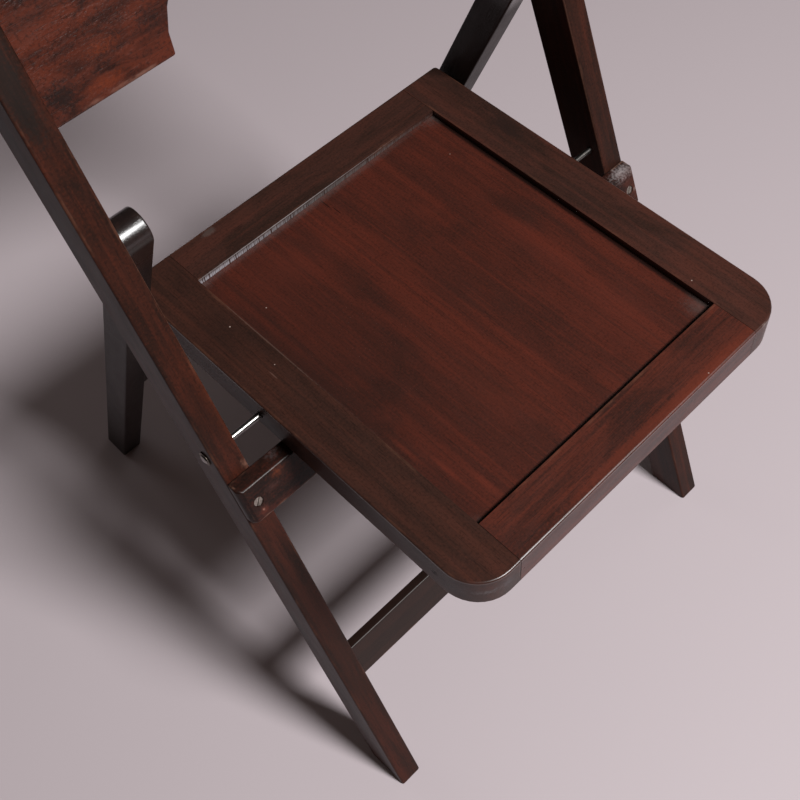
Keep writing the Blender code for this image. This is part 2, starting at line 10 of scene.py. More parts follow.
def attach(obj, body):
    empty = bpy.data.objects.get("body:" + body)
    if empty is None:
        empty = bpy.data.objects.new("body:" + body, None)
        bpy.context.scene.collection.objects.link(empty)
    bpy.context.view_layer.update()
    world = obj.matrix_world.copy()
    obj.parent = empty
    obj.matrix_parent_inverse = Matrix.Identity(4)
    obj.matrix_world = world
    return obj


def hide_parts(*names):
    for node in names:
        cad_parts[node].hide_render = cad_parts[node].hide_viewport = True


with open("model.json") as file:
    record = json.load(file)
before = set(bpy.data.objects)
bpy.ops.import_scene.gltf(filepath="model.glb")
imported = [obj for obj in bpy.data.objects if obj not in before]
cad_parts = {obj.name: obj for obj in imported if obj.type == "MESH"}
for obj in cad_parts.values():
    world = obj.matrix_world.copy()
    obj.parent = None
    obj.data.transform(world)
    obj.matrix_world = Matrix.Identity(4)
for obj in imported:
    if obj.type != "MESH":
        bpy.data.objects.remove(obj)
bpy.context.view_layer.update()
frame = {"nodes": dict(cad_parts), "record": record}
print("chair frame loaded:", len(frame["nodes"]), "nodes")

# Directions that the chair's boards run in
stileLean = math.radians(24.55)
legAngle = math.radians(22.03)
upright = (0.0, 0.0, 0.0)
withStiles = (-stileLean, 0.0, 0.0)
withLegs = (legAngle, 0.0, 0.0)


def stain(red, green, blue):
    # a display colour from 0 to 255 as the shader's linear colour
    shares = [value / 255 for value in (red, green, blue)]
    linear = [s / 12.92 if s <= 0.04045 else ((s + 0.055) / 1.055) ** 2.4 for s in shares]
    return (*linear, 1.0)


class Wire:
    # a socket that can be added, subtracted and multiplied like a number
    def __init__(self, bench, socket):
        self.bench = bench
        self.socket = socket

    def __add__(self, other):
        return self.bench.maths("ADD", self, other)

    def __sub__(self, other):
        return self.bench.maths("SUBTRACT", self, other)

    def __rsub__(self, other):
        return self.bench.maths("SUBTRACT", other, self)

    def __mul__(self, other):
        return self.bench.maths("MULTIPLY", self, other)

    def __abs__(self):
        return self.bench.maths("ABSOLUTE", self)

    __radd__ = __add__
    __rmul__ = __mul__


class Bench:
    # one material's nodes
    def __init__(self, name):
        self.material = bpy.data.materials.new(name)
        self.material.use_nodes = True
        self.nodes = self.material.node_tree.nodes
        self.links = self.material.node_tree.links
        self.shader = self.nodes["Principled BSDF"]

    def node(self, kind, settings=None, values=None):
        made = self.nodes.new(kind)
        for key, value in (settings or {}).items():
            setattr(made, key, value)
        for key, value in (values or {}).items():
            self.feed(made.inputs[key], value)
        return made

    def feed(self, socket, value):
        if isinstance(value, Wire):
            self.links.new(value.socket, socket)
        elif isinstance(value, bpy.types.NodeSocket):
            self.links.new(value, socket)
        else:
            socket.default_value = value

    def wire(self, socket):
        return Wire(self, socket)

    def maths(self, operation, first, second=0.0):
        made = self.node("ShaderNodeMath", {"operation": operation}, {0: first, 1: second})
        return self.wire(made.outputs[0])

    def least(self, first, second):
        return self.maths("MINIMUM", first, second)

    def most(self, first, second):
        return self.maths("MAXIMUM", first, second)

    def step(self, value, low, high):
        # a soft step from 0 to 1 as the value goes from low to high
        made = self.node(
            "ShaderNodeMapRange",
            {"interpolation_type": "SMOOTHSTEP"},
            {"Value": value, "From Min": low, "From Max": high},
        )
        return self.wire(made.outputs["Result"])

    def mix(self, share, first, second):
        made = self.node(
            "ShaderNodeMix", {"data_type": "RGBA"}, {"Factor": share, 6: first, 7: second}
        )
        return self.wire(made.outputs[2])

    def vector(self, x, y, z):
        made = self.node("ShaderNodeCombineXYZ", None, {0: x, 1: y, 2: z})
        return self.wire(made.outputs[0])

    def shift(self, operation, first, second):
        # arithmetic on places, kept as a vector
        made = self.node("ShaderNodeVectorMath", {"operation": operation}, {0: first, 1: second})
        return self.wire(made.outputs[0])

    def length(self, vector):
        made = self.node("ShaderNodeVectorMath", {"operation": "LENGTH"}, {0: vector})
        return self.wire(made.outputs["Value"])

    def noise(self, vector, scale, detail, rough, bend=0.0):
        made = self.node(
            "ShaderNodeTexNoise",
            None,
            {
                "Vector": vector,
                "Scale": scale,
                "Detail": detail,
                "Roughness": rough,
                "Distortion": bend,
            },
        )
        return self.wire(made.outputs["Fac"])

    def boardAxes(self, turn, grain):
        # Object coordinates turned to lie along a board: along its grain, across it, through it
        place = self.node("ShaderNodeTexCoord")
        turned = self.node(
            "ShaderNodeMapping",
            {"vector_type": "TEXTURE"},
            {"Vector": place.outputs["Object"], "Rotation": turn},
        )
        parts = self.node("ShaderNodeSeparateXYZ", None, {0: turned.outputs[0]})
        order = {"x": (0, 1, 2), "y": (1, 0, 2), "z": (2, 0, 1)}[grain]
        wires = [self.wire(parts.outputs[index]) for index in order]
        return self.wire(turned.outputs[0]), wires, order

    def finish(self, colour, roughness, height, strength, depth):
        self.feed(self.shader.inputs["Base Color"], colour)
        self.feed(self.shader.inputs["Roughness"], roughness)
        bump = self.node(
            "ShaderNodeBump", None, {"Strength": strength, "Distance": depth, "Height": height}
        )
        self.feed(self.shader.inputs["Normal"], bump.outputs[0])
        return self.material


def boardTurn(turn):
    # from a board's own axes to the chair's
    return Matrix.Rotation(turn[0], 3, "X")


def boardBox(node, turn):
    # a node's lowest and highest corners along its own board axes
    piece = frame["nodes"][node]
    flat = np.empty(len(piece.data.vertices) * 3)
    piece.data.vertices.foreach_get("co", flat)
    points = flat.reshape(-1, 3) @ np.array(boardTurn(turn).inverted()).T
    return points.min(axis=0), points.max(axis=0)


# Stain and varnish shared by every board; a board's own dictionary changes what differs.
# Colours are display values, scales are counts for each metre, widths and places are metres.
varnish = {
    "dark": (38, 26, 21),
    "body": (56, 34, 28),
    "red": (77, 41, 32),
    "worn": (132, 86, 64),
    "pore": (22, 13, 11),
    "patchAlong": 9.0,
    "patchAcross": 26.0,
    "patchDark": 0.55,
    "patchRed": 0.6,
    "ribbonAlong": 2.4,
    "ribbonAcross": 60.0,
    "ribbonShare": 0.55,
    "streakAlong": 5.0,
    "streakAcross": 230.0,
    "streakDepth": 0.42,
    "streakHeight": 0.4,
    "poreAlong": 70.0,
    "poreAcross": 1300.0,
    "poreDepth": 0.45,
    "poreHeight": 0.5,
    "scuffHeight": 0.5,
    "roughness": 0.36,
    "roughChange": 0.16,
    "wornRough": 0.2,
    "wearWidth": 0.0012,
    "wearWander": 2.0,
    "wear": 0.25,
    "peelScale": 480.0,
    "peel": 0.0,
    "peelLeast": 0.5,
    "specular": 0.30,
    "coat": 0.0,
    "coatRoughness": 0.14,
    "arrisCoat": 0.0,
    "arrisFrom": (0.4036, 0.4043),
    "arrisTo": (0.40598, 0.4057),
    "speckScale": 520.0,
    "speckDepth": 0.30,
    "marks": [],
    "sunk": 24.0,
    "seed": 0.0,
    "bumpStrength": 0.22,
    "bumpDepth": 0.00025,
}

# The noises of the wood: detail, roughness and bend
noiseKinds = {
    "clouds": (4.0, 0.58, 0.7),
    "ribbons": (3.0, 0.6, 0.9),
    "streaks": (3.0, 0.65, 0.2),
    "pores": (2.0, 0.5, 0.0),
    "rub": (4.0, 0.7, 0.0),
    "scuff": (4.0, 0.6, 0.0),
    "specks": (2.0, 0.6, 0.0),
    "ragged": (3.0, 0.65, 0.0),
    "sawn": (1.0, 0.55, 0.0),
    "peel": (2.0, 0.5, 0.0),
}
rubScales = (18.0, 60.0)
scuffScales = (40.0, 90.0)
scuffMiddle = 0.45
raggedScale = 420.0

# Where each mask of the wood begins and ends, as values of its noise
maskEnds = {
    "warm": (0.44, 0.62),
    "darkCloud": (0.50, 0.33),
    "darkStreak": (0.52, 0.30),
    "redStreak": (0.52, 0.72),
    "darkSpeck": (0.50, 0.32),
    "redSpeck": (0.54, 0.72),
    "pore": (0.56, 0.72),
    "rubbed": (0.50, 0.68),
    "sawn": (0.34, 0.56),
    "crinkled": (0.42, 0.62),
}


def varnishedWood(node, turn, grain, **changes):
    # stained board: clouds and ribbons of colour, fine streaks, pores, rubbed arrises and marks
    look = {**varnish, **changes}
    tint = {key: stain(*look[key]) for key in ("dark", "body", "red", "worn", "pore")}
    bench = Bench(node + "_wood")
    place, (along, across, through), order = bench.boardAxes(turn, grain)
    low, high = boardBox(node, turn)

    def drawnOut(kind, perAlong, perAcross):
        # noise pulled out along the grain
        lengthwise = along * perAlong + look["seed"]
        spread = bench.vector(lengthwise, across * perAcross, through * perAcross)
        return bench.noise(spread, 1.0, *noiseKinds[kind])

    def masked(value, kind):
        return bench.step(value, *maskEnds[kind])

    clouds = drawnOut("clouds", look["patchAlong"], look["patchAcross"])
    ribbons = drawnOut("ribbons", look["ribbonAlong"], look["ribbonAcross"])
    streaks = drawnOut("streaks", look["streakAlong"], look["streakAcross"])
    pores = drawnOut("pores", look["poreAlong"], look["poreAcross"])
    rub = drawnOut("rub", *rubScales)
    scuff = drawnOut("scuff", *scuffScales)

    share = look["ribbonShare"]
    warm = masked(ribbons * share + clouds * (1 - share), "warm")
    colour = bench.mix(warm * look["patchRed"], tint["body"], tint["red"])
    specks = bench.noise(place, look["speckScale"], *noiseKinds["specks"])
    for value, kind, depth, stained in (
        (clouds, "darkCloud", "patchDark", "dark"),
        (streaks, "darkStreak", "streakDepth", "dark"),
        (streaks, "redStreak", "streakDepth", "red"),
        (specks, "darkSpeck", "speckDepth", "pore"),
        (specks, "redSpeck", "speckDepth", "red"),
    ):
        colour = bench.mix(masked(value, kind) * look[depth], colour, tint[stained])
    poreMask = masked(pores, "pore")
    colour = bench.mix(poreMask * look["poreDepth"], colour, tint["pore"])

    # an arris is where two of the three distances to the board's faces are small
    gaps = []
    for wire, axis in zip((along, across, through), order):
        centre = (low[axis] + high[axis]) / 2
        half = (high[axis] - low[axis]) / 2
        gaps.append(float(half) - abs(wire - float(centre)))
    smaller = bench.least(gaps[0], gaps[1])
    larger = bench.most(gaps[0], gaps[1])
    second = bench.most(smaller, bench.least(larger, gaps[2]))
    wander = rub * look["wearWidth"] * look["wearWander"]
    nearArris = bench.step(second - wander, look["wearWidth"], 0.0)
    wear = nearArris * masked(rub, "rubbed") * look["wear"]
    colour = bench.mix(wear, colour, tint["worn"])

    # marks of use, painted shade and painted highlights and reflections, drawn one over the other
    ragged = bench.noise(place, raggedScale, *noiseKinds["ragged"]) - 0.5
    toBoard = boardTurn(turn).inverted()
    hollows = []
    for spot in look["marks"]:
        middle = toBoard @ Vector(spot["at"])
        away = bench.shift("SUBTRACT", place, tuple(middle))
        far = bench.length(bench.shift("DIVIDE", away, spot["reach"]))
        edge = far + ragged * spot["ragged"]
        mask = bench.step(edge, 1.0, spot["core"]) * spot["share"]
        if spot["sawn"]:
            bars = bench.noise(along * spot["sawn"], 1.0, *noiseKinds["sawn"])
            mask = mask * masked(bars, "sawn")
        colour = bench.mix(mask, colour, stain(*spot["tint"]))
        if spot["hollow"]:
            hollows.append(mask)

    roughness = look["roughness"] + (scuff - scuffMiddle) * look["roughChange"]
    roughness = roughness + wear * look["wornRough"]
    height = streaks * look["streakHeight"] - poreMask * look["poreHeight"]
    height = height + scuff * look["scuffHeight"]
    for hollow in hollows:
        height = height - hollow * look["sunk"]
    if look["peel"]:
        crinkle = bench.noise(place, look["peelScale"], *noiseKinds["peel"])
        crinkled = masked(rub, "crinkled") + look["peelLeast"]
        height = height + crinkle * crinkled * look["peel"]
    if "polished" in look:
        handled = bench.step(along, *look["polished"])
        roughness = roughness - handled * look["polish"]
        bench.feed(bench.shader.inputs["Coat Weight"], handled * look["polishCoat"])
    elif look["arrisCoat"]:
        rounded = bench.step(through, *look["arrisFrom"]) * bench.step(through, *look["arrisTo"])
        bench.feed(bench.shader.inputs["Coat Weight"], rounded * look["arrisCoat"])
    else:
        bench.shader.inputs["Coat Weight"].default_value = look["coat"]
    bench.shader.inputs["Specular IOR Level"].default_value = look["specular"]
    bench.shader.inputs["Coat Roughness"].default_value = look["coatRoughness"]
    return bench.finish(colour, roughness, height, look["bumpStrength"], look["bumpDepth"])


# Steel: scratches drawn out along x, the way the rod and the pegs run, and dull patches
steel = {
    "lineAlong": 60.0,
    "lineAcross": 1600.0,
    "lineNoise": (3.0, 0.6),
    "patchScale": 260.0,
    "patchNoise": (4.0, 0.6),
    "dull": (96, 84, 74),
    "dullShare": 0.5,
    "dullFrom": (0.40, 0.62),
    "roughChange": 0.2,
    "bumpStrength": 0.15,
    "bumpDepth": 0.0001,
}


def metal(name, colour, rough):
    # drawn or turned steel with fine scratches and dull patches
    bench = Bench(name)
    place = bench.node("ShaderNodeTexCoord")
    parts = bench.node("ShaderNodeSeparateXYZ", None, {0: place.outputs["Object"]})
    x, y, z = [bench.wire(parts.outputs[index]) for index in range(3)]
    across = [wire * steel["lineAcross"] for wire in (y, z)]
    lines = bench.noise(bench.vector(x * steel["lineAlong"], *across), 1.0, *steel["lineNoise"])
    patches = bench.noise(bench.vector(x, y, z), steel["patchScale"], *steel["patchNoise"])
    dulled = bench.step(patches, *steel["dullFrom"]) * steel["dullShare"]
    tint = bench.mix(dulled, colour, stain(*steel["dull"]))
    bench.shader.inputs["Metallic"].default_value = 1.0
    rough = rough + patches * steel["roughChange"]
    return bench.finish(tint, rough, lines, steel["bumpStrength"], steel["bumpDepth"])


# How near points are made one, how flat faces are, and how sharp an edge stays sharp
merge = {"distance": 0.00002, "flatWithin": math.radians(0.5), "sharpFrom": math.radians(35.0)}


def joinedMesh(mesh, name):
    # loose triangles joined into clean faces, with the round places shaded round
    shape = bmesh.new()
    shape.from_mesh(mesh)
    bmesh.ops.remove_doubles(shape, verts=shape.verts, dist=merge["distance"])
    bmesh.ops.dissolve_limit(
        shape, angle_limit=merge["flatWithin"], verts=shape.verts, edges=shape.edges
    )
    shape.to_mesh(mesh)
    shape.free()
    mesh.shade_smooth()
    mesh.set_sharp_from_angle(angle=merge["sharpFrom"])
    piece = bpy.data.objects.new(name, mesh)
    bpy.context.scene.collection.objects.link(piece)
    weighted = piece.modifiers.new("even shading", "WEIGHTED_NORMAL")
    weighted.keep_sharp = True
    return piece


def bodyOf(node):
    # the body that the record puts a node in
    bodies = frame["record"]["behaviour"]["bodies"]
    return next(body for body, nodes in bodies.items() if node in nodes)


def dress(node, material):
    # the CAD's own shape of a node, cleaned, in its material and on its body
    mesh = frame["nodes"][node].data.copy()
    mesh.materials.clear()
    piece = joinedMesh(mesh, node + "_board")
    piece.data.materials.append(material)
    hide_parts(node)
    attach(piece, bodyOf(node))


def mark(at, reach, tint, share, ragged=1.2, core=0.4, sawn=0.0, hollow=False):
    # an ellipsoid at a place, of some reach each way, and of a colour and a strength; its edge
    # is more or less ragged, and it is full inside its core, which is below 0 if it never gets
    # full; a sawn mark is broken into bars, and a hollow one is sunk into the board
    return {
        "at": at, "reach": reach, "tint": tint, "share": share,
        "ragged": ragged, "core": core, "sawn": sawn, "hollow": hollow,
    }


def dot(x, y, z):
    # a tiny chip through the varnish
    return mark((x, y, z), (0.0007, 0.0007, 0.0025), (178, 158, 148), 0.7)


def pinHole(x, y, z, wide):
    # the dark sunk end of a tenon pin
    reach = (wide, wide, wide)
    return mark((x, y, z), reach, (10, 7, 6), 0.95, ragged=0.5, core=0.0, hollow=True)


def panelCloud(x, y, width, length, tint, share):
    # a soft patch of another stain on the seat's panel
    return mark((x, y, panelTop), (width, length, 0.03), tint, share, core=-0.3)


# Heights and edges of the seat that its marks are placed by
seatTop = 0.406
panelTop = 0.400
recess = {"side": 0.1305, "front": -0.2286, "rear": 0.0704}
recessMiddle = (recess["front"] + recess["rear"]) / 2

# The dark line where the near side rail meets the front rail, on both of them
nearSeam = mark(
    (-0.1309, -0.2695, 0.3950), (0.0014, 0.004, 0.012), (14, 9, 8), 0.9,
    ragged=0.3, core=0.2, hollow=True,
)

panelMarks = [
    # painted shade: the near half of the panel darkened
    mark((-0.12, -0.06, panelTop), (0.13, 0.20, 0.05), (42, 25, 21), 0.55, ragged=0.4, core=-0.2),
    panelCloud(0.0826, -0.0957, 0.019, 0.102, (92, 40, 30), 0.34),
    panelCloud(0.0839, -0.181, 0.038, 0.058, (90, 40, 30), 0.38),
    panelCloud(-0.045, -0.165, 0.035, 0.085, (86, 40, 30), 0.34),
    panelCloud(-0.062, 0.035, 0.072, 0.037, (84, 39, 30), 0.34),
    panelCloud(0.009, -0.0749, 0.022, 0.034, (50, 29, 24), 0.45),
    panelCloud(0.021, -0.112, 0.016, 0.027, (50, 29, 24), 0.38),
    panelCloud(0.1026, -0.065, 0.016, 0.031, (50, 29, 24), 0.38),
    panelCloud(0.0253, 0.007, 0.019, 0.034, (54, 30, 25), 0.38),
    mark((-0.0042, 0.062, panelTop), (0.0007, 0.010, 0.004), (18, 11, 9), 0.8, ragged=0.3),
    mark((-0.0022, 0.050, panelTop), (0.0006, 0.007, 0.004), (18, 11, 9), 0.8, ragged=0.3),
    dot(0.1076, 0.0277, panelTop),
    dot(-0.1083, 0.0165, panelTop),
]
# rubbed streaks near the front corner
for x, y, width, length in (
    (-0.1225, -0.150, 0.0028, 0.026),
    (-0.113, -0.182, 0.0034, 0.024),
    (-0.102, -0.208, 0.0044, 0.018),
):
    panelMarks.append(
        mark((x, y, panelTop), (width, length, 0.01), (100, 43, 30), 0.4, core=0.0)
    )
# painted shade: dark lines along the recess's front and far edges, where the rails shade the sunk
# panel; and dust round its edges
for x, y, width, length in (
    (0.0, recess["front"] + 0.0012, 0.5, 0.0042),
    (recess["side"] - 0.001, recessMiddle, 0.0042, 0.5),
):
    panelMarks.append(
        mark((x, y, panelTop), (width, length, 0.01), (12, 9, 8), 0.85, ragged=0.4, core=0.3)
    )
for x, y, width, length in (
    (0.0, recess["rear"], 0.17, 0.0075),
    (0.0, recess["front"], 0.17, 0.0065),
    (-recess["side"], recessMiddle, 0.0035, 0.19),
    (recess["side"], recess["rear"], 0.022, 0.016),
    (recess["side"] - 0.006, recess["front"] + 0.008, 0.016, 0.020),
    (-recess["side"], recess["front"], 0.014, 0.012),
    (-recess["side"], recess["rear"], 0.012, 0.012),
):
    panelMarks.append(
        mark((x, y, panelTop), (width, length, 0.01), (92, 80, 77), 0.4, core=-0.3)
    )

# Looks that two or three boards share
stileLook = {
    "specular": 0.13, "speckDepth": 0.4, "worn": (104, 66, 50),
    "patchAlong": 14.0, "patchAcross": 50.0,
}
blackened = {"dark": (22, 16, 15), "body": (31, 22, 20), "red": (40, 26, 23), "wear": 0.25}
legLook = {
    **blackened, "specular": 0.28, "roughness": 0.42, "polished": (0.440, 0.474), "polish": 0.20,
    "polishCoat": 1.0, "coatRoughness": 0.27, "peel": 7.0, "peelScale": 1000.0,
    "worn": (84, 62, 54),
}

# Boards: which way each one runs, and its own stain, gloss, marks of use and painted shade,
# highlights and reflections
boards = {
    "stile_right": (withStiles, "z", {
        **stileLook, "dark": (29, 19, 15), "body": (44, 24, 18), "red": (74, 34, 23),
        "wear": 0.35, "seed": 1.3,
        "marks": [
            mark((-0.2152, 0.0647, 0.6628), (0.012, 0.008, 0.05), (31, 26, 24), 0.75),
            mark((-0.2118, -0.1557, 0.1804), (0.03, 0.04, 0.24), (38, 28, 24), 0.55,
                 ragged=0.5, core=-0.2),
            # orange band along the inner front arris: wear, with a painted highlight where the
            # rounded arris catches the light
            mark((-0.203, -0.0424, 0.4284), (0.006, 0.006, 0.07), (86, 42, 28), 0.40,
                 ragged=2.4, core=0.0),
            mark((-0.2035, -0.0655, 0.3789), (0.005, 0.005, 0.007), (126, 92, 78), 0.6,
                 ragged=1.4, core=-0.4),
            mark((-0.2120, -0.0439, 0.4252), (0.02, 0.04, 0.05), (34, 22, 18), 0.5,
                 ragged=0.6, core=-0.3),
            # thin light line down the inner front arris: painted highlight, with some wear
            mark((-0.2018, 0.0, 0.521), (0.0010, 0.0012, 0.20), (116, 78, 62), 0.5),
        ],
    }),
    "stile_left": (withStiles, "z", {
        **stileLook, "dark": (30, 20, 16), "body": (46, 26, 20), "red": (70, 34, 24),
        "wear": 0.3, "seed": 4.1,
        "marks": [
            # thin light line down the inner front arris: painted highlight, with some wear
            mark((0.2018, 0.0, 0.521), (0.0012, 0.0014, 0.24), (90, 62, 52), 0.5),
        ],
    }),
    "crest_panel": (withStiles, "x", {
        "dark": (32, 18, 15), "body": (52, 26, 20), "red": (84, 37, 24), "wear": 0.6, "seed": 7.7,
        "patchAlong": 26.0, "patchAcross": 60.0, "patchDark": 0.8, "patchRed": 0.85,
        "peel": 4.2, "peelScale": 620.0,
        "roughness": 0.24, "wearWidth": 0.0018, "worn": (124, 84, 70), "speckDepth": 0.45,
        "specular": 0.5, "speckScale": 420.0,
        "marks": [
            mark((-0.1517, 0.0765, 0.6451), (0.020, 0.02, 0.008), (108, 47, 26), 0.6,
                 ragged=2.6, core=0.0),
            mark((-0.1592, 0.0686, 0.6278), (0.022, 0.02, 0.007), (108, 47, 26), 0.6,
                 ragged=2.6, core=0.0),
            mark((-0.1885, 0.0712, 0.6336), (0.016, 0.02, 0.012), (32, 22, 20), 0.8),
            mark((-0.1171, 0.0771, 0.6464), (0.012, 0.02, 0.009), (34, 22, 20), 0.6),
            mark((0.12, 0.07, 0.64), (0.02, 0.02, 0.01), (100, 44, 26), 0.6),
            mark((0.17, 0.11, 0.72), (0.02, 0.02, 0.014), (32, 22, 20), 0.6),
        ],
    }),
    "front_stretcher": (withStiles, "x", {
        "dark": (30, 21, 18), "body": (40, 28, 24), "red": (50, 31, 26), "seed": 9.2, "wear": 0.3,
        "specular": 0.26,
    }),
    "seat_batten": (withStiles, "x", {
        "dark": (22, 15, 13), "body": (36, 22, 18), "red": (62, 29, 22), "wear": 0.6, "seed": 12.9,
        "patchAlong": 40.0, "patchAcross": 70.0, "patchRed": 0.8, "worn": (126, 92, 76),
        "coat": 0.03, "specular": 0.14, "peel": 2.4, "speckDepth": 0.6,
        "marks": [
            # pale grey patches on the near end's top: painted reflections, with some scuffing
            mark((-0.1839, -0.0715, 0.3719), (0.010, 0.007, 0.006), (110, 108, 110), 0.5,
                 ragged=1.6, core=-0.4),
            mark((-0.2039, -0.0659, 0.3694), (0.007, 0.004, 0.003), (110, 102, 98), 0.35,
                 core=-0.3),
            mark((-0.1899, -0.0826, 0.371), (0.010, 0.006, 0.007), (112, 54, 32), 0.6,
                 ragged=1.6, core=-0.6),
            mark((-0.1985, -0.0859, 0.3637), (0.009, 0.004, 0.004), (96, 62, 56), 0.45,
                 ragged=2.0, core=-0.5),
            mark((-0.2125, -0.0912, 0.3526), (0.009, 0.006, 0.006), (112, 56, 44), 0.6,
                 ragged=1.4, core=-0.6),
            mark((-0.2122, -0.0912, 0.3530), (0.0016, 0.003, 0.0016), (190, 140, 124), 0.6,
                 core=-0.3),
            # pale grey patch on the far end's top: wear, with a painted reflection
            mark((0.2123, -0.0765, 0.3742), (0.019, 0.010, 0.008), (166, 156, 156), 0.8,
                 ragged=1.8, core=-0.3),
            mark((0.2200, -0.0886, 0.3590), (0.004, 0.003, 0.0022), (150, 140, 134), 0.5,
                 ragged=2.4),
            mark((0.222, -0.0886, 0.36), (0.026, 0.012, 0.030), (80, 41, 32), 0.6, core=0.0),
        ],
    }),
    "seat_side_rail_right": (upright, "y", {
        "dark": (34, 23, 19), "body": (52, 32, 26), "red": (71, 39, 30), "seed": 15.4, "wear": 0.15,
        "specular": 0.20, "arrisCoat": 0.9, "coatRoughness": 0.28,
        "marks": [
            mark((-0.1520, 0.0150, seatTop), (0.030, 0.055, 0.010), (30, 20, 17), 0.5,
                 ragged=0.4, core=-0.3),
            dot(-0.142, 0.0188, seatTop),
            dot(-0.141, -0.0317, seatTop),
            mark((-0.148, -0.038, seatTop), (0.0007, 0.006, 0.002), (92, 68, 60), 0.6, ragged=0.5),
            # faint light line along the inner top arris: painted highlight, with some wear
            mark((-0.1309, -0.01, seatTop), (0.0008, 0.07, 0.0010), (92, 70, 62), 0.5),
            pinHole(-0.172, -0.2271, 0.3910, 0.0036),
            pinHole(-0.1430, -0.2694, 0.4010, 0.0022),
            nearSeam,
            # grey patches at the near front corner: scuffs, with the floor's reflection painted in
            mark((-0.1562, -0.2610, 0.3915), (0.018, 0.010, 0.004), (104, 98, 100), 0.5,
                 ragged=2.4, core=-0.2),
            mark((-0.1650, -0.2450, 0.3930), (0.010, 0.016, 0.010), (70, 64, 66), 0.5,
                 ragged=2.0, core=-0.4),
            mark((-0.1440, -0.2680, 0.3930), (0.010, 0.006, 0.009), (78, 72, 76), 0.5,
                 ragged=2.0, core=-0.4),
        ],
    }),
    "seat_side_rail_left": (upright, "y", {
        "seed": 18.8, "wear": 0.15, "arrisCoat": 0.5, "coatRoughness": 0.28,
        "marks": [
            mark((0.1597, 0.0107, seatTop), (0.010, 0.022, 0.006), (36, 25, 22), 0.6),
            dot(0.1361, -0.203, seatTop),
            mark((0.1416, -0.2690, 0.405), (0.006, 0.003, 0.003), (150, 140, 134), 0.5),
            pinHole(0.172, -0.2271, 0.3910, 0.0036),
            pinHole(0.1430, -0.2694, 0.4010, 0.0022),
        ],
    }),
    "seat_front_rail": (upright, "x", {
        "dark": (44, 24, 19), "body": (62, 31, 24), "red": (90, 40, 28), "seed": 21.5, "wear": 0.2,
        "arrisCoat": 1.0, "coatRoughness": 0.28, "specular": 0.34,
        "streakDepth": 0.6, "streakAlong": 9.0, "streakAcross": 300.0, "patchAlong": 12.0,
        "marks": [
            mark((0.03, -0.2625, seatTop), (0.15, 0.006, 0.006), (104, 45, 30), 0.45),
            mark((0.060, -0.2640, seatTop), (0.060, 0.004, 0.006), (104, 48, 34), 0.35,
                 ragged=2.0, core=-0.3),
            mark((-0.1003, -0.2388, seatTop), (0.014, 0.006, 0.006), (50, 30, 25), 0.4, core=-0.3),
            dot(0.0762, -0.2642, seatTop),
            nearSeam,
            pinHole(-0.1275, -0.2695, 0.3920, 0.0022),
            pinHole(-0.1230, -0.2695, 0.3935, 0.0016),
            pinHole(0.1275, -0.2695, 0.3920, 0.0022),
        ],
    }),
    "seat_rear_rail": (upright, "x", {
        "seed": 24.6, "wear": 0.2, "patchRed": 0.4,
        "marks": [
            mark((-0.0929, 0.1031, seatTop), (0.009, 0.004, 0.004), (92, 84, 80), 0.32),
            # pale strips broken into saw-mark bars on the inner face: dust in the saw marks, with a
            # painted reflection
            mark((-0.03, recess["rear"], 0.402), (0.19, 0.003, 0.0042), (104, 99, 98), 0.6,
                 sawn=620.0, ragged=0.5),
            mark((-0.13, recess["rear"], 0.402), (0.15, 0.003, 0.0050), (190, 186, 194), 0.85,
                 sawn=620.0, ragged=0.5, core=-0.3),
            # painted highlight: a thin bright line along the inner top arris
            mark((-0.05, recess["rear"], seatTop), (0.17, 0.0008, 0.0006), (180, 172, 172), 0.6,
                 ragged=0.5, core=0.0),
        ],
    }),
    "seat_panel": (upright, "y", {
        "dark": (47, 27, 22), "body": (64, 31, 24), "red": (92, 39, 27), "seed": 27.2, "wear": 0.0,
        "patchAlong": 8.0, "patchAcross": 18.0, "patchDark": 0.5, "patchRed": 0.45,
        "streakAlong": 6.0, "streakAcross": 320.0, "streakDepth": 0.38, "poreDepth": 0.42,
        "roughness": 0.34, "marks": panelMarks,
    }),
    "rear_leg_right": (withLegs, "z", {**legLook, "seed": 30.3}),
    "rear_leg_left": (withLegs, "z", {**legLook, "seed": 33.7}),
    "rear_stretcher": (withLegs, "x", {**blackened, "seed": 36.1, "specular": 0.26}),
}
for node, (turn, grain, changes) in boards.items():
    dress(node, varnishedWood(node, turn, grain, **changes))
print("boards stained:", len(boards))

brightSteel = metal("bright_steel", stain(168, 165, 162), 0.20)
dullSteel = metal("dull_steel", stain(120, 110, 100), 0.34)
for node in ("seat_rod", "guide_peg_right", "guide_peg_left"):
    dress(node, brightSteel)
for node in frame["nodes"]:
    if "washer" in node or "leg_pivot_screw" in node:
        dress(node, dullSteel)
print("steel done")


# Countersunk screws that hold the batten, seen from the front with their slots
slottedScrew = {
    "Head radius": 0.0038,
    "Shank radius": 0.0020,
    "Head height": 0.0025,
    "Slot width": 0.0009,
    "Slot depth": 0.0008,
    "Slot turn": math.radians(52.0),
}
# How many sides the screw's rounds have, how long its shank is and how deep it sits as shares of
# the screw's length, and how long the slot's blade is in radii of the head
screwShape = {
    "headSides": 28, "shankSides": 16, "shankShare": 0.96, "shankSink": 0.52, "bladeLength": 3.0
}


